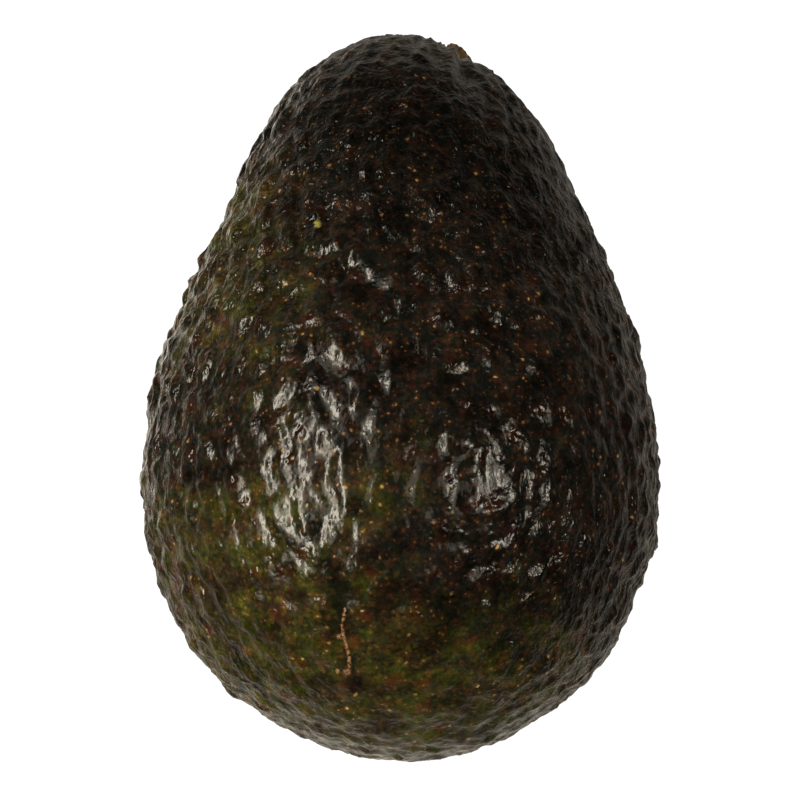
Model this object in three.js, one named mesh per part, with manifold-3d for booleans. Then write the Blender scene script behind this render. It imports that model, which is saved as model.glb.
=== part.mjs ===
import * as THREE from 'three';
import { ConvexHull } from 'three/addons/math/ConvexHull.js';
import { mergeVertices } from 'three/addons/utils/BufferGeometryUtils.js';
import Module from 'manifold-3d';

// A ripe Hass-type avocado lying on its side on the plane z = 0, in millimetres. The blossom end is
// toward -Y, the neck with the stem button is toward +Y, and the origin is in the middle of the small
// flat spot that the fruit rests on.

// The body, a pear-shaped solid about its long axis
const FRUIT_LENGTH = 101.8;
const MIDDLE_RADIUS = 33.75;
const TAPER = 10.97;
const NECK_FULLNESS = 5.62;
const BLOSSOM_END_SHIFT = 1.05;
const BLOSSOM_END_REACH = 5.5;

// How it lies: the neck is lighter than the belly, so it droops until the weight is over the support
const REST_LEAN = THREE.MathUtils.degToRad(14.4);
const REST_ALONG = 54.4;
const FLAT_DEPTH = 0.4;

// Broad swellings and hollows, each with its place along the axis from the blossom end, its place
// around the axis (0 is the right side, 90 the top, 180 the left side), its reach and its height
const SWELLINGS = [
  { along: 93, around: 180, reach: 4.5, height: 0.8 },
  { along: 87, around: 0, reach: 6, height: 0.7 },
  { along: 67, around: 0, reach: 7, height: 0.35 },
  { along: 74, around: 180, reach: 8, height: -0.9 },
  { along: 57, around: 0, reach: 4, height: 0.4 },
  { along: 51, around: 180, reach: 5, height: 0.4 },
  { along: 22, around: 0, reach: 3.5, height: -0.55 },
  { along: 11, around: 0, reach: 5, height: 0.55 },
  { along: 15, around: 180, reach: 5, height: 0.3 },
  { along: 66, around: 75, reach: 9, height: -0.5 },
  { along: 38, around: 110, reach: 9, height: 0.4 },
];
const SWELLING_SPREAD = 0.7;
// Near the tips, where the body is slimmer than this radius, the swellings shrink with it
const SWELLING_FULL_RADIUS = 12;

// The pebbled skin: raised pebbles longer along the fruit than around it, with grooves between them
const PEBBLE_SEED = 7;
const PEBBLE_LENGTH = 5.8;
const PEBBLE_WIDTH = 4.1;
const PEBBLE_JITTER = 0.27;
const PEBBLE_HEIGHT = 0.5;
const PEBBLE_LEAST_SHARE = 0.55;
const PEBBLE_FOOT_SHARE = 0.62;
const GROOVE_DEPTH = 0.25;
const SMOOTH_ABOVE_REST = 3;

// The blossom scar, a small dimple, and the stem button in its shallow hollow
const SCAR_FRACTION = 0.028;
const SCAR_AROUND = 0;
const SCAR_RADIUS = 1.6;
const SCAR_DEPTH = 0.4;
const STEM_FRACTION = 0.935;
const STEM_AROUND = THREE.MathUtils.degToRad(-14);
const STEM_FOOT_RADIUS = 3.2;
const STEM_TOP_RADIUS = 2.7;
const STEM_STAND = 1.6;
const STEM_SUNK = 1;
const STEM_FOOT_EDGE = 0.5;
const STEM_FOOT_SHARE = 0.1;
const STEM_WAIST_SHARE = 0.3;
const STEM_CUT_SHARE = 0.6;
const STEM_CUT_TILT = THREE.MathUtils.degToRad(18);
const STEM_SIDES = 28;
const HOLLOW_RADIUS = 7;
const HOLLOW_DEPTH = 0.9;
const FIT_GAP = 0.3;

const MERIDIAN_STEPS = 720;
const NORMAL_STEP = 0.002;

function makeRandom(seed) {
  let state = seed;
  return () => {
    state = (Math.imul(state, 1664525) + 1013904223) >>> 0;
    return state / 2 ** 32;
  };
}

// Radius of the plain body at a polar angle that runs from 0 at the blossom end to pi at the stem end
function bodyRadius(polar) {
  const u = -Math.cos(polar);
  return Math.sin(polar) * (MIDDLE_RADIUS - TAPER * u + NECK_FULLNESS * u ** 3);
}

function alongAxis(polar) {
  return (FRUIT_LENGTH * (1 - Math.cos(polar))) / 2;
}

// Running length of the body's outline from the blossom end, at equal steps of the polar angle
function meridianLengths() {
  const lengths = [0];
  for (let step = 1; step <= MERIDIAN_STEPS; step += 1) {
    const polar = (Math.PI * step) / MERIDIAN_STEPS;
    const before = (Math.PI * (step - 1)) / MERIDIAN_STEPS;
    const forward = alongAxis(polar) - alongAxis(before);
    const outward = bodyRadius(polar) - bodyRadius(before);
    lengths.push(lengths[step - 1] + Math.hypot(forward, outward));
  }
  return lengths;
}

const MERIDIAN = meridianLengths();
const MERIDIAN_LENGTH = MERIDIAN[MERIDIAN_STEPS];

// Polar angle at a fraction of the outline's length
function polarAt(fraction) {
  const wanted = THREE.MathUtils.clamp(fraction, 0, 1) * MERIDIAN_LENGTH;
  let low = 0;
  let high = MERIDIAN_STEPS;
  while (high - low > 1) {
    const middle = (low + high) >> 1;
    if (MERIDIAN[middle] <= wanted) low = middle;
    else high = middle;
  }
  const share = (wanted - MERIDIAN[low]) / (MERIDIAN[high] - MERIDIAN[low]);
  return (Math.PI * (low + share)) / MERIDIAN_STEPS;
}

function swellingHeight(along, around) {
  let height = 0;
  for (const swelling of SWELLINGS) {
    const away = (along - swelling.along) / swelling.reach;
    const turn = around - THREE.MathUtils.degToRad(swelling.around);
    const sideways = (1 - Math.cos(turn)) / SWELLING_SPREAD;
    height += swelling.height * Math.exp(-away * away - sideways);
  }
  return height;
}

// Point of the smooth body, already leaned over and set down in its resting place
function bodyPoint(fraction, around) {
  const polar = polarAt(fraction);
  const along = alongAxis(polar);
  const taperOff = Math.min(1, bodyRadius(polar) / SWELLING_FULL_RADIUS);
  const radius = bodyRadius(polar) + taperOff * swellingHeight(along, around);
  const shift = BLOSSOM_END_SHIFT * Math.exp(-((along / BLOSSOM_END_REACH) ** 2));
  const point = new THREE.Vector3(
    radius * Math.cos(around) + shift,
    along - REST_ALONG,
    radius * Math.sin(around),
  );
  point.applyAxisAngle(new THREE.Vector3(1, 0, 0), -REST_LEAN);
  const restRadius = bodyRadius(Math.acos(1 - (2 * REST_ALONG) / FRUIT_LENGTH));
  point.y += restRadius * Math.sin(REST_LEAN);
  point.z += restRadius * Math.cos(REST_LEAN) - FLAT_DEPTH;
  return point;
}

function bodyNormal(fraction, around) {
  const ahead = bodyPoint(fraction + NORMAL_STEP, around);
  const behind = bodyPoint(fraction - NORMAL_STEP, around);
  const left = bodyPoint(fraction, around + NORMAL_STEP);
  const right = bodyPoint(fraction, around - NORMAL_STEP);
  return ahead.sub(behind).cross(left.sub(right)).normalize();
}

const SCAR_CENTRE = bodyPoint(SCAR_FRACTION, SCAR_AROUND);
const STEM_CENTRE = bodyPoint(STEM_FRACTION, STEM_AROUND);
const STEM_AXIS = bodyNormal(STEM_FRACTION, STEM_AROUND);

// Height of the skin over the smooth body, with the relief given as a height at that place. The relief
// dies away round the resting spot, in the blossom scar and in the hollow round the stem.
function skinHeight(point, relief) {
  const fromScar = point.distanceTo(SCAR_CENTRE) / SCAR_RADIUS;
  const fromStem = point.distanceTo(STEM_CENTRE) / HOLLOW_RADIUS;
  const scar = Math.exp(-fromScar * fromScar);
  const hollow = Math.exp(-((fromStem * fromStem) ** 2));
  const aboveRest = THREE.MathUtils.smoothstep(point.z, 0, SMOOTH_ABOVE_REST);
  return relief * aboveRest * (1 - scar) * (1 - hollow) - SCAR_DEPTH * scar - HOLLOW_DEPTH * hollow;
}

function skinPoint(fraction, around, relief) {
  const point = bodyPoint(fraction, around);
  return point.clone().addScaledVector(bodyNormal(fraction, around), skinHeight(point, relief));
}

// Pebbles in rings round the fruit, each ring started at a random turn and each pebble nudged
function pebbleSeats() {
  const random = makeRandom(PEBBLE_SEED);
  const rings = Math.round(MERIDIAN_LENGTH / PEBBLE_LENGTH);
  const seats = [];
  for (let ring = 0; ring < rings; ring += 1) {
    const girth = 2 * Math.PI * bodyRadius(polarAt((ring + 0.5) / rings));
    const count = Math.max(4, Math.round(girth / PEBBLE_WIDTH));
    const start = random();
    for (let place = 0; place < count; place += 1) {
      const nudgeAlong = PEBBLE_JITTER * (2 * random() - 1);
      const nudgeAround = PEBBLE_JITTER * (2 * random() - 1);
      const share = PEBBLE_LEAST_SHARE + (1 - PEBBLE_LEAST_SHARE) * random();
      seats.push({
        fraction: (ring + 0.5 + nudgeAlong) / rings,
        around: (2 * Math.PI * (place + start + nudgeAround)) / count,
        height: PEBBLE_HEIGHT * share,
      });
    }
  }
  return seats;
}

// Direction on a unit ball that stands for a place on the skin, and the way back
function ballPoint(fraction, around) {
  const polar = Math.PI * fraction;
  return new THREE.Vector3(
    Math.sin(polar) * Math.cos(around),
    -Math.cos(polar),
    Math.sin(polar) * Math.sin(around),
  );
}

function placeOnSkin(direction, relief) {
  const fraction = Math.acos(THREE.MathUtils.clamp(-direction.y, -1, 1)) / Math.PI;
  return skinPoint(fraction, Math.atan2(direction.z, direction.x), relief);
}

function faceEdges(face) {
  return [face.getEdge(0), face.getEdge(1), face.getEdge(2)];
}

// The whole skin. Each pebble is a low fan of triangles from its raised top down to a foot of one point
// for every gap between three pebbles that it touches, and the grooves run from foot to foot.
function pebbledSkin() {
  const seatAtPoint = new Map();
  for (const seat of pebbleSeats()) {
    seatAtPoint.set(ballPoint(seat.fraction, seat.around), seat);
  }
  const hull = new ConvexHull().setFromPoints([...seatAtPoint.keys()]);
  const footPoints = new Map();
  const footPoint = (centre, face) => footPoints.get(face).get(centre);
  for (const face of hull.faces) {
    const gap = new THREE.Vector3();
    for (const edge of faceEdges(face)) gap.add(edge.head().point);
    gap.normalize();
    const feet = new Map();
    for (const edge of faceEdges(face)) {
      const centre = edge.head().point;
      const direction = centre.clone().lerp(gap, PEBBLE_FOOT_SHARE).normalize();
      feet.set(centre, placeOnSkin(direction, -GROOVE_DEPTH));
    }
    footPoints.set(face, feet);
  }
  const positions = [];
  for (const face of hull.faces) {
    for (const edge of faceEdges(face)) {
      const here = edge.tail().point;
      const next = edge.head().point;
      const beyond = edge.twin.face;
      const seat = seatAtPoint.get(here);
      const top = skinPoint(seat.fraction, seat.around, seat.height);
      positions.push(...top, ...footPoint(here, beyond), ...footPoint(here, face));
      positions.push(...footPoint(here, face), ...footPoint(here, beyond), ...footPoint(next, face));
    }
    for (const edge of faceEdges(face)) positions.push(...footPoint(edge.head().point, face));
  }
  const geometry = new THREE.BufferGeometry();
  geometry.setAttribute('position', new THREE.Float32BufferAttribute(positions, 3));
  return geometry;
}

const wasm = await Module();
wasm.setup();

function toSolid(geometry) {
  const bare = geometry.index ? geometry.toNonIndexed() : geometry.clone();
  bare.deleteAttribute('normal');
  bare.deleteAttribute('uv');
  const merged = mergeVertices(bare, 1e-4);
  const mesh = new wasm.Mesh({
    numProp: 3,
    vertProperties: new Float32Array(merged.attributes.position.array),
    triVerts: new Uint32Array(merged.index.array),
  });
  return new wasm.Manifold(mesh);
}

function toGeometry(solid) {
  const mesh = solid.getMesh();
  const geometry = new THREE.BufferGeometry();
  geometry.setAttribute('position', new THREE.BufferAttribute(mesh.vertProperties, 3));
  geometry.setIndex(new THREE.BufferAttribute(mesh.triVerts, 1));
  return geometry;
}

// Stands the stem's own upright axis on the skin, pointing straight out of it
function placeStem(object) {
  object.position.copy(STEM_CENTRE).addScaledVector(STEM_AXIS, -HOLLOW_DEPTH);
  object.quaternion.setFromUnitVectors(new THREE.Vector3(0, 1, 0), STEM_AXIS);
  object.updateMatrix();
}

function socketCutter() {
  const depth = 2 * (STEM_SUNK + FIT_GAP);
  const radius = STEM_FOOT_RADIUS + FIT_GAP;
  const cylinder = new THREE.CylinderGeometry(radius, radius, 2 * depth, STEM_SIDES);
  cylinder.translate(0, depth - (STEM_SUNK + FIT_GAP), 0);
  const holder = new THREE.Object3D();
  placeStem(holder);
  return cylinder.applyMatrix4(holder.matrix);
}

function fruit() {
  const floor = new THREE.BoxGeometry(FRUIT_LENGTH, FRUIT_LENGTH, FRUIT_LENGTH);
  floor.translate(0, 0, -FRUIT_LENGTH / 2);
  const solid = toSolid(pebbledSkin()).subtract(toSolid(floor)).subtract(toSolid(socketCutter()));
  const skin = new THREE.MeshStandardMaterial({ color: 0x2e271c, roughness: 0.4, metalness: 0 });
  const mesh = new THREE.Mesh(toGeometry(solid), skin);
  mesh.name = 'fruit';
  return mesh;
}

// The dry stub of the stem: a low button with a rounded foot, snapped off at a slant
function stemButton() {
  const middleRadius = (STEM_FOOT_RADIUS + STEM_TOP_RADIUS) / 2;
  const outline = [
    new THREE.Vector2(0, -STEM_SUNK),
    new THREE.Vector2(STEM_FOOT_RADIUS - STEM_FOOT_EDGE, -STEM_SUNK),
    new THREE.Vector2(STEM_FOOT_RADIUS, STEM_FOOT_EDGE - STEM_SUNK),
    new THREE.Vector2(STEM_FOOT_RADIUS, STEM_FOOT_SHARE * STEM_STAND),
    new THREE.Vector2(middleRadius, STEM_WAIST_SHARE * STEM_STAND),
    new THREE.Vector2(STEM_TOP_RADIUS, STEM_CUT_SHARE * STEM_STAND),
    new THREE.Vector2(STEM_TOP_RADIUS, 2 * STEM_STAND),
    new THREE.Vector2(0, 2 * STEM_STAND),
  ];
  const side = 8 * STEM_FOOT_RADIUS;
  const cutter = new THREE.BoxGeometry(side, side, side);
  cutter.translate(0, side / 2, 0);
  cutter.rotateZ(-STEM_CUT_TILT);
  cutter.translate(0, STEM_CUT_SHARE * STEM_STAND, 0);
  const solid = toSolid(new THREE.LatheGeometry(outline, STEM_SIDES)).subtract(toSolid(cutter));
  const wood = new THREE.MeshStandardMaterial({ color: 0x8a6238, roughness: 0.8, metalness: 0 });
  const mesh = new THREE.Mesh(toGeometry(solid), wood);
  placeStem(mesh);
  mesh.name = 'stem_button';
  return mesh;
}

const avocado = new THREE.Group();
avocado.add(fruit(), stemButton());

export default avocado;
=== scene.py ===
import math

import bmesh
import bpy
import numpy as np
from mathutils import Matrix, Vector, kdtree, noise


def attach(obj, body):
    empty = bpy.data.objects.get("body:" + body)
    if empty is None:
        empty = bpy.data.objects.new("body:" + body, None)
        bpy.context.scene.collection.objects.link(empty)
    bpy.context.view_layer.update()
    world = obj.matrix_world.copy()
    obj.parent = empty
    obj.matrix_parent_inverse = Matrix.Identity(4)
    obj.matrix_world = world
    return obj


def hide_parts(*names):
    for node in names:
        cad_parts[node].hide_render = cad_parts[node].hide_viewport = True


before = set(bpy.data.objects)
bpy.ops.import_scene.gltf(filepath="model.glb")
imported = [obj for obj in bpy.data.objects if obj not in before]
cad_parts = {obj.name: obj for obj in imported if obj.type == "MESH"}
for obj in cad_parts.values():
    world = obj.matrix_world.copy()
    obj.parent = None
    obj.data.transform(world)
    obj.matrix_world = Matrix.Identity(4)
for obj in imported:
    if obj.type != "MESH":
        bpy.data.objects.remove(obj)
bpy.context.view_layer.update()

# ---------------------------------------------------------------- the fruit
# One whole fruit: a pear-shaped body under a thick leathery skin that is pebbled all over. It lies on
# its side on a small flat spot, with the heavy blossom end toward -Y and the neck drooping toward +Y,
# where the skin dips round the stem. All sizes here are in millimetres until the mesh is made.

METRES = 0.001
fruit_length = 101.8
middle_radius = 33.75
taper = 10.97
neck_fullness = 5.62
blossom_end_shift = 1.05
blossom_end_reach = 5.5
rest_lean = math.radians(14.4)
rest_along = 54.4
flat_depth = 0.4

# Broad swellings and hollows: along the fruit, degrees around it, reach and height
swellings = [
    (93, 180, 4.5, 0.8),
    (87, 0, 6, 0.7),
    (67, 0, 7, 0.35),
    (74, 180, 8, -0.9),
    (57, 0, 4, 0.4),
    (51, 180, 5, 0.4),
    (22, 0, 3.5, -0.55),
    (11, 0, 5, 0.55),
    (15, 180, 5, 0.3),
    (66, 75, 9, -0.5),
    (38, 110, 9, 0.4),
]
swelling_spread = 0.7


def body_radius(polar):
    u = -np.cos(polar)
    return np.sin(polar) * (middle_radius - taper * u + neck_fullness * u**3)


def along_axis(polar):
    return fruit_length * (1 - np.cos(polar)) / 2


polar_steps = np.linspace(0, math.pi, 721)
steps_along = np.diff(along_axis(polar_steps))
steps_outward = np.diff(body_radius(polar_steps))
meridian = np.concatenate([[0], np.cumsum(np.hypot(steps_along, steps_outward))])
meridian_length = meridian[-1]


def polar_at(fraction):
    return np.interp(np.clip(fraction, 0, 1) * meridian_length, meridian, polar_steps)


def body_points(fraction, around):
    """Places on the smooth body, leaned over and set down, from shares of the way to the stem end."""
    polar = polar_at(fraction)
    along = along_axis(polar)
    radius = body_radius(polar)
    swelling = 0 * radius
    for place, turn, reach, height in swellings:
        away = (along - place) / reach
        sideways = (1 - np.cos(around - math.radians(turn))) / swelling_spread
        swelling = swelling + height * np.exp(-away * away - sideways)
    radius = radius + np.minimum(1, radius / 12) * swelling
    shift = blossom_end_shift * np.exp(-((along / blossom_end_reach) ** 2))
    x = radius * np.cos(around) + shift
    forward = along - rest_along
    upward = radius * np.sin(around)
    rest_radius = body_radius(math.acos(1 - 2 * rest_along / fruit_length))
    lean_cos = math.cos(rest_lean)
    lean_sin = math.sin(rest_lean)
    y = forward * lean_cos + upward * lean_sin + rest_radius * lean_sin
    z = upward * lean_cos - forward * lean_sin + rest_radius * lean_cos - flat_depth
    return np.stack([x, y, z], axis=-1)


def body_normals(fraction, around):
    step = 0.002
    forward = body_points(fraction + step, around) - body_points(fraction - step, around)
    sideways = body_points(fraction, around + step) - body_points(fraction, around - step)
    normal = np.cross(forward, sideways)
    return normal / np.linalg.norm(normal, axis=-1, keepdims=True)


# The stem stands in a hollow off to the right of the neck's tip, and the blossom scar is a small dimple
stem_fraction = 0.935
stem_around = math.radians(-14)
scar_fraction = 0.028
scar_around = 0.0
stem_centre = body_points(stem_fraction, stem_around)
stem_axis = body_normals(stem_fraction, stem_around)
scar_centre = body_points(scar_fraction, scar_around)
hollow_radius = 7
hollow_depth = 0.9
socket_radius = 3.5
socket_depth = 1.2
scar_radius = 1.6
scar_depth = 0.4
smooth_above_rest = 3


def random_numbers(seed):
    state = seed
    while True:
        state = (state * 1664525 + 1013904223) % 2**32
        yield state / 2**32


def pebble_seats(seed, length, width, jitter, least_share):
    """Rings of pebbles round the fruit, each pebble nudged: place along, place around and height."""
    draw = random_numbers(seed)
    rings = round(meridian_length / length)
    seats = []
    for ring in range(rings):
        girth = 2 * math.pi * float(body_radius(polar_at((ring + 0.5) / rings)))
        count = max(4, round(girth / width))
        start = next(draw)
        for place in range(count):
            nudge_along = jitter * (2 * next(draw) - 1)
            nudge_around = jitter * (2 * next(draw) - 1)
            share = least_share + (1 - least_share) * next(draw)
            fraction = (ring + 0.5 + nudge_along) / rings
            around = 2 * math.pi * (place + start + nudge_around) / count
            seats.append((fraction, around, share))
    return np.array(seats)


def stretched(points, stretch):
    """Points turned to the fruit's own axis and squeezed along it, so that pebbles come out longer."""
    along = points[..., 1] * math.cos(rest_lean) - points[..., 2] * math.sin(rest_lean)
    across = points[..., 1] * math.sin(rest_lean) + points[..., 2] * math.cos(rest_lean)
    return np.stack([points[..., 0], along / stretch, across], axis=-1)


def soft_step(value, low, high):
    share = np.clip((value - low) / (high - low), 0, 1)
    return share * share * (3 - 2 * share)


def nearest_seats(points, seats, stretch, count):
    """For each point its nearest seats, as their heights and their distances."""
    tree = kdtree.KDTree(len(seats))
    for index, seat in enumerate(stretched(body_points(seats[:, 0], seats[:, 1]), stretch)):
        tree.insert(seat, index)
    tree.balance()
    found = [tree.find_n(point, count) for point in stretched(points, stretch)]
    heights = np.array([[seats[index, 2] for _, index, _ in near] for near in found])
    distances = np.array([[distance for _, _, distance in near] for near in found])
    return heights, distances


def flat_pebbles(points, seats, stretch, edge):
    """Pebbles with flattish tops: 0 in the grooves between them, each pebble's own height within."""
    heights, distances = nearest_seats(points, seats, stretch, 2)
    inside = (distances[:, 1] - distances[:, 0]) / (distances[:, 1] + distances[:, 0])
    return heights[:, 0] * soft_step(inside, 0, edge)


def humps(points, seats, stretch, reach):
    """Round humps that run together into ridges where their seats are close."""
    heights, distances = nearest_seats(points, seats, stretch, 4)
    return (heights * np.exp(-((distances / reach) ** 2))).sum(axis=1)


def wavy(points, size, height):
    """Smooth seeded waves, one number for each point."""
    return np.array([height * noise.noise(Vector(point) / size) for point in points])


def bell(points, across, along, half_across, half_along):
    """1 at a place seen from above, fading out over its half widths in millimetres."""
    sideways = (points[:, 0] - across) / half_across
    lengthways = (points[:, 1] - along) / half_along
    return np.exp(-(sideways**2) - lengthways**2)


def from_line(points, line):
    """Distance from each point to a bent line, seen from above."""
    nearest = np.full(len(points), np.inf)
    for start, end in zip(line, line[1:]):
        step = np.subtract(end, start)
        share = np.clip((points[:, :2] - start) @ step / (step @ step), 0, 1)
        gap = points[:, :2] - start - share[:, None] * step
        nearest = np.minimum(nearest, np.linalg.norm(gap, axis=1))
    return nearest


skin_cuts = 127
skin_mesh = bmesh.new()
bmesh.ops.create_cube(skin_mesh, size=2)
bmesh.ops.subdivide_edges(skin_mesh, edges=skin_mesh.edges, cuts=skin_cuts, use_grid_fill=True)
cube_points = np.array([vert.co for vert in skin_mesh.verts])
ball = np.tan(cube_points * math.pi / 4)
ball = ball / np.linalg.norm(ball, axis=1, keepdims=True)
skin_fraction = np.arccos(np.clip(-ball[:, 1], -1, 1)) / math.pi
skin_around = np.arctan2(ball[:, 2], ball[:, 0])
body = body_points(skin_fraction, skin_around)
outward = body_normals(np.clip(skin_fraction, 0.004, 0.996), skin_around)

warp = np.stack([wavy(body + offset, 5, 1.5) for offset in (0, 40, 80)], axis=-1)
lumps = flat_pebbles(body + warp, pebble_seats(7, 5.8, 4.1, 0.27, 0.55), 1.4, 0.55)
pebbles = humps(body + 0.5 * warp, pebble_seats(11, 3.2, 2.6, 0.45, 0.0), 1.15, 1.1)
wrinkles = humps(body + 0.3 * warp, pebble_seats(23, 1.8, 1.5, 0.45, 0.0), 1.2, 0.65)
folds = 1 - np.abs(wavy(stretched(body, 1.4) + 0.4 * warp, 2.4, 2.0))
furrows = 1 - np.abs(wavy(stretched(body, 3.0) + 0.3 * warp, 1.7, 2.0))
waves = wavy(body, 11, 0.4)

# Round the stem the skin is drawn into puckers that run out from it, and the neck's brow dips beside it
pucker_rounds = 12
pucker_reach = 24
pucker_height = 0.75
brow_dip_depth = 0.8
from_stem = np.linalg.norm(body - stem_centre, axis=1)
spokes = stretched(body + 0.4 * warp, 1) - stretched(stem_centre, 1)
spokes[:, 1] = 0
spokes = pucker_rounds * spokes / np.linalg.norm(spokes, axis=1, keepdims=True)
spokes[:, 1] = from_stem / 6
puckers = 1 - np.abs(wavy(spokes, 1.6, 2.0))
neck_end = np.exp(-((from_stem / pucker_reach) ** 2))
brow_dip = bell(body, 9.5, 48.5, 2.6, 3.5)

# The belly is smoother than the flanks and the neck, and low down toward the blossom end most of all
lump_height = 0.38
pebble_height = 0.32
wrinkle_height = 0.14
fold_height = 0.15
furrow_height = 0.25
skin_lift = 0.3
upper_side = soft_step(body[:, 2], 15, 35)
belly = upper_side * (1 - soft_step(np.hypot((body[:, 0] + 4) / 25, (body[:, 1] + 5) / 26), 0.5, 1.15))
low_belly = upper_side * bell(body, 0, -38, 24, 13)
coarse = lump_height * (lumps - 0.55) + pebble_height * (pebbles - 0.6)
creased = wrinkle_height * (wrinkles - 0.6) + fold_height * (folds - 0.5)
blossom_end = np.exp(-(((body[:, 0] + 2) / 16) ** 2)) * (1 - soft_step(body[:, 1], -44, -30))
right_side = upper_side * np.exp(-(((body[:, 0] - 23) / 6) ** 2))
calm = np.max([belly, low_belly, 0.7 * blossom_end, 0.8 * right_side], axis=0)
rough_flank = bell(body, -23, 20, 13, 22)
shoulder = upper_side * bell(body, 2, 20, 18, 12)
rough = np.maximum(rough_flank, shoulder)
relief = skin_lift + coarse * (1.15 - 0.6 * calm + 0.65 * rough)
flank = 1 - soft_step(outward[:, 2], 0.4, 0.8)
relief = relief + creased * (1.25 - 0.85 * calm + 0.8 * rough + 0.5 * flank)
relief = relief + furrow_height * (furrows - 0.5) * flank * (1 - neck_end)
relief = relief * (1 - 0.5 * neck_end) + pucker_height * (puckers - 0.5) * neck_end

# Low ridges where the skin puckered as it ripened, and one bruised groove below them
# (height, half width and the line of each, as places across and along the fruit)
ridges = [
    (0.2, 1.0, [(-17.7, -2.9), (-17.6, -4.8), (-18.0, -6.1), (-17.2, -7.8), (-17.5, -9.1)]),
    (0.26, 1.1, [(-12.8, -3.5), (-13.9, -5.7), (-14.4, -8.7), (-12.7, -12.5), (-13.1, -14.5)]),
    (0.28, 1.1, [(-11.8, 3.6), (-10.3, 0.4), (-7.9, -2.9), (-7.0, -9.3), (-6.8, -10.9)]),
    (0.26, 0.9, [(-11.2, -15.6), (-11.9, -18.0), (-11.2, -20.6)]),
    (0.25, 0.9, [(-6.0, 6.2), (-5.2, 5.1), (-5.5, 3.9), (-6.1, 2.6)]),
    (0.3, 0.9, [(-9.7, 12.4), (-8.5, 10.7), (-7.4, 9.4)]),
    (0.3, 0.9, [(-1.5, 8.5), (-1.1, 6.2)]),
    (0.3, 0.8, [(9.5, -11.2), (11.4, -10.7), (13.4, -10.1), (14.3, -9.1)]),
    (0.25, 0.8, [(8.1, -9.2), (8.9, -9.6), (9.9, -8.8)]),
    (0.2, 0.9, [(14.8, -0.5), (15.2, -3.0), (14.2, -5.6), (15.0, -8.2)]),
    (0.2, 0.9, [(3.9, -2.6), (4.7, -1.1), (5.8, 0.0)]),
    (0.2, 0.8, [(7.2, -1.6), (9.4, -2.4), (9.0, -5.2), (8.0, -5.6)]),
    (0.2, 0.9, [(4.8, -6.6), (5.8, -7.8), (5.6, -9.4)]),
    (0.35, 0.9, [(11.2, -16.0), (12.7, -15.5), (14.3, -14.9)]),
    (0.25, 0.9, [(8.6, -0.5), (7.9, -2.2)]),
    (0.25, 0.9, [(14.5, -5.5), (14.8, -4.1)]),
    (0.7, 1.2, [(-9.4, 24.1), (-6.5, 22.6)]),
    (0.6, 1.2, [(-5.5, 23.6), (-3.5, 21.0), (-0.5, 18.7)]),
    (0.4, 1.0, [(2.5, 23.4), (5.5, 21.0), (7.6, 18.9)]),
]
bruise_depth = 0.4
bruise_width = 1.0
bruise = [(-8.0, -18.6), (-7.2, -22.4)]
for height, width, line in ridges:
    relief = relief + height * upper_side * np.exp(-((from_line(body, line) / width) ** 2))
relief = relief - bruise_depth * upper_side * np.exp(-((from_line(body, bruise) / bruise_width) ** 2))

from_scar = np.linalg.norm(body - scar_centre, axis=1)
hollow = np.exp(-((from_stem / hollow_radius) ** 4))
scar = np.exp(-((from_scar / scar_radius) ** 2))
above_rest = soft_step(body[:, 2], 0, smooth_above_rest)
socket = 1 - soft_step(from_stem, socket_radius - 0.6, socket_radius)
rise = (relief + waves) * above_rest * (1 - scar) * (1 - hollow)
rise = rise - scar_depth * scar - hollow_depth * hollow - socket_depth * socket - brow_dip_depth * brow_dip
skin_points = body + outward * rise[:, None]
skin_points[:, 2] = np.maximum(skin_points[:, 2], 0)
for vert, point in zip(skin_mesh.verts, skin_points):
    vert.co = point * METRES

skin_data = bpy.data.meshes.new("fruit_skin")
bmesh.ops.recalc_face_normals(skin_mesh, faces=skin_mesh.faces)
skin_mesh.to_mesh(skin_data)
skin_mesh.free()
skin_data.shade_smooth()
fruit = bpy.data.objects.new("fruit_skin", skin_data)
bpy.context.collection.objects.link(fruit)


class Wire:
    """A socket in a material's nodes that can be used in sums."""

    def __init__(self, tree, socket=None):
        self.tree = tree
        self.socket = socket

    def node(self, kind, settings, inputs, output=0):
        made = self.tree.nodes.new(kind)
        for name, value in settings.items():
            setattr(made, name, value)
        for name, value in inputs.items():
            if isinstance(value, Wire):
                self.tree.links.new(value.socket, made.inputs[name])
            else:
                made.inputs[name].default_value = value
        return Wire(self.tree, made.outputs[output] if made.outputs else None)

    def math(self, operation, *values):
        return self.node("ShaderNodeMath", {"operation": operation}, dict(enumerate(values)))

    def __add__(self, other):
        return self.math("ADD", self, other)

    def __sub__(self, other):
        return self.math("SUBTRACT", self, other)

    def __rsub__(self, other):
        return self.math("SUBTRACT", other, self)

    def __mul__(self, other):
        return self.math("MULTIPLY", self, other)

    def __truediv__(self, other):
        return self.math("DIVIDE", self, other)

    __radd__ = __add__
    __rmul__ = __mul__


def new_finish(name):
    material = bpy.data.materials.new(name)
    material.use_nodes = True
    material.node_tree.nodes.clear()
    return material, Wire(material.node_tree)


def blend(wire, share, first, second):
    """A colour that goes from the first to the second as the share goes from 0 to 1."""
    settings = {"data_type": "RGBA", "clamp_factor": True}
    return wire.node("ShaderNodeMix", settings, {0: share, 6: first, 7: second}, 2)


def band(wire, value, low, high):
    """0 below the low value and 1 above the high one, smooth between them."""
    settings = {"interpolation_type": "SMOOTHSTEP"}
    return wire.node("ShaderNodeMapRange", settings, {0: value, 1: low, 2: high, 3: 0.0, 4: 1.0})


def patches(wire, place, size, detail=2.0, roughness=0.5):
    """Cloudy noise with patches of about the given size in millimetres."""
    inputs = {"Vector": place, "Scale": 1 / (size * METRES), "Detail": detail, "Roughness": roughness}
    return wire.node("ShaderNodeTexNoise", {}, inputs)


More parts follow.
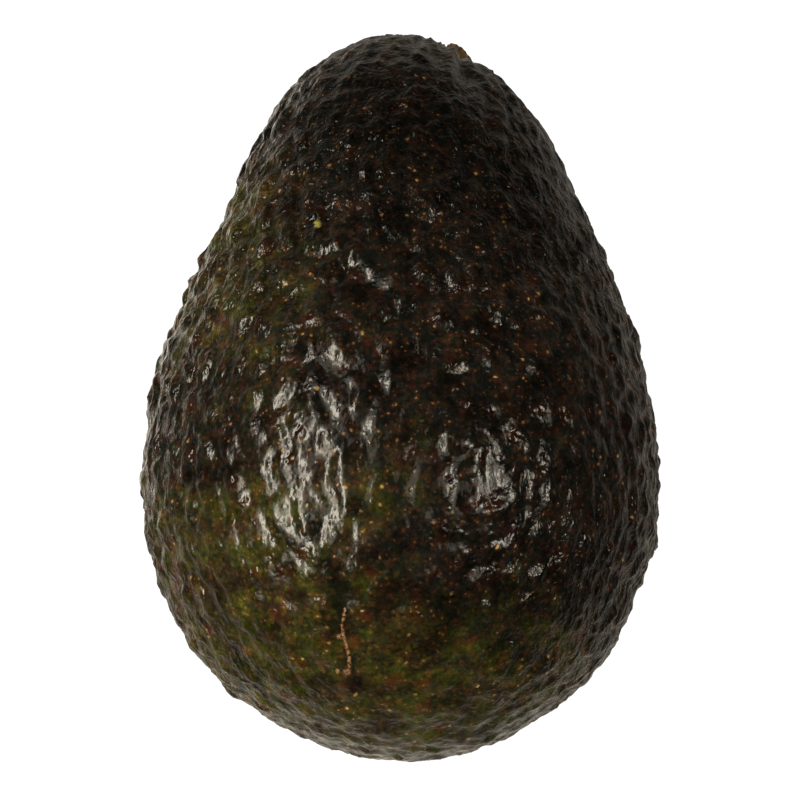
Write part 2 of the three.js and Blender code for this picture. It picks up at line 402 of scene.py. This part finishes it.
def spot(wire, place, centre, reach):
    """1 at a place on the skin, given in millimetres, fading to 0 over the reach."""
    settings = {"operation": "DISTANCE"}
    point = tuple(part * METRES for part in centre)
    distance = wire.node("ShaderNodeVectorMath", settings, {0: place, 1: point}, 1)
    return 1 - band(wire, distance, 0.3 * reach * METRES, reach * METRES)


def colour(red, green, blue):
    """A linear colour from one given as seen on a screen, 0 to 255."""
    parts = []
    for part in (red, green, blue):
        share = part / 255
        parts.append(share / 12.92 if share <= 0.04045 else ((share + 0.055) / 1.055) ** 2.4)
    return (*parts, 1.0)


def shaded(wire, tint, amount):
    """A colour made darker or lighter by a number."""
    return wire.node("ShaderNodeVectorMath", {"operation": "SCALE"}, {0: tint, "Scale": amount})


def corky_dots(wire, place, spacing, least, most, share):
    """Scattered round dots and a soft halo round each, from 0 to 1, and a random number for each dot."""
    cells = {"Vector": place, "Scale": 1 / (spacing * METRES)}
    distance = wire.node("ShaderNodeTexVoronoi", {}, cells)
    tint = wire.node("ShaderNodeTexVoronoi", {}, cells, "Color")
    draw = wire.node("ShaderNodeSeparateColor", {}, {0: tint}, 0)
    other_draw = wire.node("ShaderNodeSeparateColor", {}, {0: tint}, 1)
    kept = band(wire, other_draw, 1 - share, 1.15 - share)
    reach = least / spacing + (most - least) / spacing * draw
    dots = 1 - band(wire, distance / reach, 0.15, 1.05)
    halo = 1 - band(wire, distance / reach, 0.5, 3.0)
    return dots * kept, halo * kept, draw


skin, wire = new_finish("avocado_skin")
place = wire.node("ShaderNodeTexCoord", {}, {}, "Object")
along_fruit = {"Vector": place, "Rotation": (rest_lean, 0, 0), "Scale": (1, 0.5, 1)}
grain_place = wire.node("ShaderNodeMapping", {}, along_fruit)

# Clouds, mottles and grain in the colour, and corky dots of three sizes with ragged edges
ragged_noise = {"Vector": place, "Scale": 1 / (0.7 * METRES), "Detail": 1.0}
ragged = wire.node("ShaderNodeTexNoise", {}, ragged_noise, 1)
ragged = wire.node("ShaderNodeVectorMath", {"operation": "SCALE"}, {0: ragged, "Scale": 0.5 * METRES})
dot_place = wire.node("ShaderNodeVectorMath", {}, {0: place, 1: ragged})

cloud = patches(wire, place, 16, 3.0)
mottle = patches(wire, place, 3.5, 3.0, 0.6)
blotch = patches(wire, place, 1.4, 2.0, 0.6)
grain = patches(wire, place, 0.5, 2.0, 0.6)
dots, dot_halo, dot_draw = corky_dots(wire, dot_place, 1.15, 0.12, 0.34, 0.5)
specks, speck_halo, speck_draw = corky_dots(wire, dot_place, 0.75, 0.08, 0.2, 0.8)
smears, _, smear_draw = corky_dots(wire, dot_place, 1.2, 0.3, 0.6, 0.8)

# Where the skin is still green: the middle and reach of each patch, and how green it is
green_patches = [
    ((-19, -30, 50), 32, 1.0),
    ((6, -40, 50), 34, 0.9),
    ((-24, 18, 46), 26, 0.64),
    ((-23, 30, 40), 13, 0.4),
    ((-12, -14, 68), 20, 0.45),
    # the next patch also lightens the belly where the key light's glossy haze falls: partly green skin,
    # partly painted sheen
    ((-2, -5, 70), 14, 0.22),
    ((-16, 6, 62), 12, 0.3),
    ((-28, -14, 44), 18, 0.35),
]
green_zone = 0
for centre, reach, strength in green_patches:
    green_zone = green_zone + spot(wire, place, centre, reach) * strength
green_share = band(wire, green_zone * 0.6 + cloud * 0.7 + mottle * 0.7, 0.75, 1.35)

# From dark ground to green, with brown blotches, a stain round each dot and lime smears
hue = patches(wire, place, 6.0, 2.0)
dark = blend(wire, band(wire, mottle, 0.35, 0.65), colour(15, 12, 10), colour(27, 22, 16))
dark = blend(wire, band(wire, hue, 0.4, 0.55) * 0.5, colour(15, 18, 16), dark)
green = blend(wire, band(wire, mottle, 0.35, 0.65), colour(34, 34, 19), colour(50, 54, 17))
green = blend(wire, band(wire, hue, 0.5, 0.6) * 0.55, green, colour(44, 31, 24))
ground = blend(wire, green_share, dark, green)
red = blend(wire, green_share, colour(58, 31, 19), colour(88, 58, 25))
ground = blend(wire, band(wire, blotch, 0.52, 0.66) * 0.35, ground, red)
halo = dot_halo * 0.5 * dot_draw + speck_halo * (0.1 + 0.4 * speck_draw)
ground = blend(wire, halo, ground, red)
lime = blend(wire, green_share, colour(38, 36, 16), colour(92, 90, 26))
ground = blend(wire, smears * 0.5, ground, blend(wire, band(wire, smear_draw, 0.4, 0.6), red, lime))
ground = shaded(wire, ground, 0.1 + grain * 1.8)

# Round each pimple a dark red-brown patch, partly the skin's own stain and partly painted shade of a
# shallow pit, with the pimple in its middle
pimples, pits, _ = corky_dots(wire, place, 3.0, 0.3, 0.7, 0.5)
ground = blend(wire, pits * 0.45, ground, blend(wire, green_share, colour(46, 20, 12), colour(80, 32, 14)))

# The dots crowd together in places and are palest at the blossom end
dot_colour = blend(wire, dot_draw, colour(104, 60, 32), colour(182, 146, 90))
speck_colour = blend(wire, speck_draw, colour(94, 54, 30), colour(136, 110, 58))
dot_colour = blend(wire, band(wire, mottle, 0.42, 0.6) * 0.7, dot_colour, colour(150, 132, 66))
dot_colour = blend(wire, green_share * 0.5, dot_colour, colour(150, 148, 62))
crowding = band(wire, patches(wire, place, 4.5, 2.0, 0.6), 0.38, 0.6)
surface = blend(wire, specks * (0.15 + 0.7 * speck_draw) * (0.35 + 0.7 * crowding), ground, speck_colour)
low_end = spot(wire, place, (2, -42, 46), 28)
dot_strength = (0.2 + 0.9 * dot_draw * dot_draw) * (0.4 + 0.7 * crowding + 0.9 * low_end)
surface = blend(wire, dots * dot_strength, surface, dot_colour)
surface = shaded(wire, surface, band(wire, patches(wire, place, 5.0, 4.0, 0.7), 0.3, 0.72) * 1.2 + 0.42)

# Marks on the upper side: a corky scratch with a dark bruise at each end, and a few single dots
from_above = wire.node("ShaderNodeVectorMath", {"operation": "MULTIPLY"}, {0: dot_place, 1: (1, 1, 0)})
across = wire.node("ShaderNodeSeparateXYZ", {}, {0: place}, 0) / METRES
along = wire.node("ShaderNodeSeparateXYZ", {}, {0: place}, 1) / METRES
above_floor = wire.node("ShaderNodeSeparateXYZ", {}, {0: place}, 2) / METRES
on_top = band(wire, above_floor, 30, 35)
scratch_bend = wire.math("COSINE", (along + 25.6) * 0.63) * 0.42
off_scratch = wire.math("ABSOLUTE", across + 7.2 + scratch_bend + (blotch - 0.5) * 0.5)
scratch_length = band(wire, along, -32.0, -31.6) * (1 - band(wire, along, -23.7, -23.1))
scratch = (1 - band(wire, off_scratch, 0.04, 0.32)) * scratch_length
scratch = scratch + spot(wire, from_above, (-7.7, -26.8, 0), 0.6)
scratch = scratch + spot(wire, from_above, (-6.9, -31.6, 0), 0.65)
smudge = spot(wire, from_above, (-7.5, -21.3, 0), 3.4) + spot(wire, from_above, (-5.9, -33.2, 0), 2.2)
smudge = smudge + (1 - band(wire, off_scratch, 0.4, 1.2)) * scratch_length * 0.6
surface = blend(wire, smudge * on_top * 0.75, surface, colour(13, 11, 12))
beads = band(wire, grain, 0.35, 0.6)
surface = blend(wire, scratch * on_top * beads, surface, colour(158, 118, 82))
pale_dots = spot(wire, from_above, (-8.1, -31.5, 0), 0.4) + spot(wire, from_above, (-5.8, -34.7, 0), 0.36)
surface = blend(wire, pale_dots * on_top, surface, colour(160, 122, 70))

# The skin is made darker toward the neck
neck = spot(wire, place, (7, 43, 34), 42)
surface = shaded(wire, surface, 1 - 0.48 * neck)
bright_spot = spot(wire, from_above, (-10.9, 27.2, 0), 0.7) * band(wire, grain, 0.25, 0.55)
surface = blend(wire, bright_spot * on_top * 0.8, surface, colour(178, 170, 80))

# The dry point at the blossom end where the flower sat
scar_place = tuple(scar_centre)
surface = blend(wire, spot(wire, place, scar_place, 3.4) * (0.3 + mottle), surface, colour(30, 22, 15))
surface = blend(wire, spot(wire, place, scar_place, 1.5) * (0.4 + grain), surface, colour(112, 84, 54))

# Where the skin is worn smooth and shiny: the middle and reach of each place, and how smooth it is
worn_places = [
    ((-6, -8, 71), 37, 1.0),
    ((2, -40, 46), 24, 1.0),
    ((27, 4, 56), 24, 0.7),
    ((-6, 22, 60), 11, 0.75),
    ((-23, -16, 58), 17, 0.55),
]
worn = 0
for centre, reach, strength in worn_places:
    worn = worn + spot(wire, place, centre, reach) * strength
worn = wire.node("ShaderNodeClamp", {}, {0: worn})

# Fine bumps, creases and blisters in the skin's surface, as heights in millimetres
fine = patches(wire, grain_place, 1.2, 2.0, 0.5) * (0.44 - 0.39 * worn)
creases = wire.math("ABSOLUTE", patches(wire, grain_place, 1.4, 1.0, 0.5) - 0.5) * (0.48 - 0.42 * worn)
rosettes = (patches(wire, place, 0.8, 0.0) - 0.5) * pits * 0.3
ripple = patches(wire, place, 0.9, 1.0) * 0.05
blisters, _, _ = corky_dots(wire, dot_place, 1.0, 0.3, 0.65, 0.75)
thin_creases = wire.math("ABSOLUTE", patches(wire, place, 0.8, 1.0) - 0.5) * (0.2 - 0.2 * worn)
near_stem = spot(wire, place, tuple(stem_centre), 38)
bump_height = (fine - creases - thin_creases) * (1 - 0.6 * near_stem) + ripple + blisters * 0.035
bump_height = bump_height + dots * 0.02 + rosettes + pimples * 0.04 + scratch * on_top * 0.1
bump = wire.node("ShaderNodeBump", {}, {"Strength": 1.0, "Distance": METRES, "Height": bump_height})

# The wax on the skin is dull in patches and dry on the dots
dull = band(wire, patches(wire, place, 1.6, 2.0, 0.6), 0.46, 0.64)
gloss = 0.12 + dull * 0.14 + grain * 0.06 + dots * 0.2
skin_look = {"Base Color": surface, "Roughness": gloss, "IOR": 1.45, "Normal": bump}
shader = wire.node("ShaderNodeBsdfPrincipled", {}, skin_look)
wire.node("ShaderNodeOutputMaterial", {}, {"Surface": shader})
skin_data.materials.append(skin)

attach(fruit, "root")
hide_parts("fruit")

# ---------------------------------------------------------------- the stem button
# The dry stub that stays on the fruit when it is cut from the tree: a low woody button with fibres
# down its side, snapped off at a slant, sitting in the hollow of the neck.

stem_foot_radius = 3.2
stem_top_radius = 2.7
stem_stand = 1.6
stem_sunk = 1.0
stem_cut_tilt = math.radians(18)
stem_sides = 96

stem_mesh = bmesh.new()
stem_outline = [
    (0.0, -stem_sunk),
    (stem_foot_radius - 0.5, -stem_sunk),
    (stem_foot_radius, -0.5 * stem_sunk),
    (stem_foot_radius, 0.1 * stem_stand),
    ((stem_foot_radius + stem_top_radius) / 2, 0.3 * stem_stand),
    (stem_top_radius, 0.6 * stem_stand),
    (stem_top_radius, 1.0 * stem_stand),
    (stem_top_radius - 0.4, 1.08 * stem_stand),
    (0.6, 1.0 * stem_stand),
    (0.0, 0.9 * stem_stand),
]
outline_verts = [stem_mesh.verts.new((radius, 0, up)) for radius, up in stem_outline]
for lower, upper in zip(outline_verts, outline_verts[1:]):
    stem_mesh.edges.new((lower, upper))
bmesh.ops.subdivide_edges(stem_mesh, edges=stem_mesh.edges, cuts=3)
bmesh.ops.spin(
    stem_mesh,
    geom=stem_mesh.verts[:] + stem_mesh.edges[:],
    axis=(0, 0, 1),
    cent=(0, 0, 0),
    angle=2 * math.pi,
    steps=stem_sides,
    use_merge=True,
)
bmesh.ops.remove_doubles(stem_mesh, verts=stem_mesh.verts, dist=0.001)
bmesh.ops.recalc_face_normals(stem_mesh, faces=stem_mesh.faces)
slant_start = 0.2 * stem_stand
for vert in stem_mesh.verts:
    turn = math.atan2(vert.co.y, vert.co.x)
    out = math.hypot(vert.co.x, vert.co.y)
    fibre = noise.noise(Vector((math.cos(turn) * 5, math.sin(turn) * 5, vert.co.z * 0.5)))
    crumble = noise.noise(vert.co * 1.6)
    grown = 1 + 0.05 * fibre * (out > 2.2) + 0.03 * crumble
    if vert.co.z > -0.3 * stem_sunk:
        vert.co.x *= grown
        vert.co.y *= grown
    above = max(0, vert.co.z - slant_start) / (stem_stand - slant_start)
    vert.co.z -= above * (vert.co.x * math.tan(stem_cut_tilt) + 0.22 * stem_stand - 0.2 * crumble)
to_stem = Vector((0, 0, 1)).rotation_difference(Vector(stem_axis)).to_matrix().to_4x4()
stem_base = Vector(stem_centre - hollow_depth * stem_axis)
placing = Matrix.Scale(METRES, 4) @ Matrix.Translation(stem_base) @ to_stem
bmesh.ops.transform(stem_mesh, matrix=placing, verts=stem_mesh.verts)
stem_data = bpy.data.meshes.new("stem_stub")
stem_mesh.to_mesh(stem_data)
stem_mesh.free()
stem_data.shade_smooth()
stem = bpy.data.objects.new("stem_stub", stem_data)
bpy.context.collection.objects.link(stem)

bark, wire = new_finish("stem_wood")
place = wire.node("ShaderNodeTexCoord", {}, {}, "Object")
fibres = patches(wire, place, 0.5, 4.0, 0.7)
stain = patches(wire, place, 2.0, 2.0)
wood_colour = blend(wire, band(wire, fibres, 0.35, 0.65), colour(36, 26, 12), colour(116, 88, 48))
wood_colour = blend(wire, band(wire, stain, 0.5, 0.7) * 0.6, wood_colour, colour(52, 32, 20))
wood_bump = wire.node("ShaderNodeBump", {}, {"Strength": 0.8, "Distance": 0.2 * METRES, "Height": fibres})
shader = wire.node(
    "ShaderNodeBsdfPrincipled",
    {},
    {"Base Color": wood_colour, "Roughness": 0.65 + fibres * 0.2, "Normal": wood_bump},
)
wire.node("ShaderNodeOutputMaterial", {}, {"Surface": shader})
stem_data.materials.append(bark)

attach(stem, "root")
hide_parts("stem_button")

# ---------------------------------------------------------------- floor, light and camera
# A wide pale table top that glows a little, two soft boxes over the fruit's shoulders and a dim room
# that is a little brighter low down on the left, all seen from straight above.

floor_size = 20.0
floor_mesh = bmesh.new()
bmesh.ops.create_grid(floor_mesh, x_segments=1, y_segments=1, size=floor_size / 2)
floor_data = bpy.data.meshes.new("floor")
floor_mesh.to_mesh(floor_data)
floor_mesh.free()
floor = bpy.data.objects.new("floor", floor_data)
bpy.context.collection.objects.link(floor)
paper, wire = new_finish("pale_paper")
paper_look = {
    "Base Color": (0.15, 0.15, 0.15, 1),
    "Roughness": 1.0,
    "Specular IOR Level": 0.0,
    "Emission Color": (1, 1, 1, 1),
    "Emission Strength": 1.0,
}
shader = wire.node("ShaderNodeBsdfPrincipled", {}, paper_look)
wire.node("ShaderNodeOutputMaterial", {}, {"Surface": shader})
floor_data.materials.append(paper)
floor.visible_glossy = False

room = bpy.data.worlds.new("room")
room.use_nodes = True
room.node_tree.nodes.clear()
wire = Wire(room.node_tree)
direction = wire.node("ShaderNodeTexCoord", {}, {}, "Generated")
right = wire.node("ShaderNodeSeparateXYZ", {}, {0: direction}, 0)
away = wire.node("ShaderNodeSeparateXYZ", {}, {0: direction}, 1)
upward = wire.node("ShaderNodeSeparateXYZ", {}, {0: direction}, 2)
level = wire.math("MAXIMUM", wire.math("SQRT", 1 - upward * upward), 0.15)

# Low down the room is brighter toward the left and the front, and it fades out overhead
left_wall = band(wire, (0.34 * away - 0.94 * right) / level, 0.8, 1.0)
near_wall = band(wire, -1 * away / level, 0.3, 1.0)
walls = (1.9 * left_wall + 0.32 * near_wall) * (1 - band(wire, upward, -1.0, -0.5))
side_glow = 0.72 - (0.19 * right + 0.2 * away) / level + walls
side_glow = wire.node("ShaderNodeClamp", {}, {0: side_glow, 2: 3.0})
glow = 0.012 + 0.66 * side_glow * (1 - band(wire, upward, -1.15, 0.05))
sky = wire.node("ShaderNodeBackground", {}, {"Color": (1, 0.9, 0.76, 1), "Strength": glow})
wire.node("ShaderNodeOutputWorld", {}, {"Surface": sky})
bpy.context.scene.world = room


def soft_box(name, across, along, distance, wide, long, radiance):
    """A soft box seen from the fruit at two tilts from overhead, in degrees, facing the fruit."""
    lamp = bpy.data.lights.new(name, "AREA")
    lamp.shape = "RECTANGLE"
    lamp.size = wide
    lamp.size_y = long
    lamp.energy = radiance * math.pi * wide * long
    lamp.color = (1, 0.92, 0.77)
    holder = bpy.data.objects.new(name, lamp)
    sideways = math.radians(across)
    lengthways = math.radians(along)
    direction = Vector((math.tan(sideways), math.tan(lengthways), 1)).normalized()
    aim = Vector((0, 0, 0.04))
    holder.location = aim + direction * distance
    holder.rotation_euler = direction.to_track_quat("Z", "X").to_euler()
    bpy.context.collection.objects.link(holder)
    return holder


soft_box("key_glow", -42, 10, 1.1, 0.6, 1.6, 1.2)
soft_box("key", -44, 6, 1.08, 0.3, 1.2, 1.9)
soft_box("key_core", -44, 6, 1.0, 0.13, 0.95, 16.0)
soft_box("fill_glow", 36, 5, 1.1, 0.75, 0.55, 1.3)
soft_box("fill", 41, 6, 1.08, 0.4, 0.5, 1.2)
soft_box("fill_core", 42, 5, 1.0, 0.11, 0.3, 14.0)
ceiling = soft_box("ceiling", -12, 0, 1.6, 1.6, 1.6, 1.0)
ceiling.visible_glossy = False

view_width = 0.10965
lens = 180.0
camera_data = bpy.data.cameras.new("camera")
camera_data.lens = lens
camera_data.sensor_width = 36.0
camera = bpy.data.objects.new("camera", camera_data)
camera_height = 0.036 + lens / camera_data.sensor_width * view_width
camera.location = (-0.0002, 0.0036, camera_height)
bpy.context.collection.objects.link(camera)
bpy.context.scene.camera = camera
bpy.context.scene.view_settings.view_transform = "Standard"
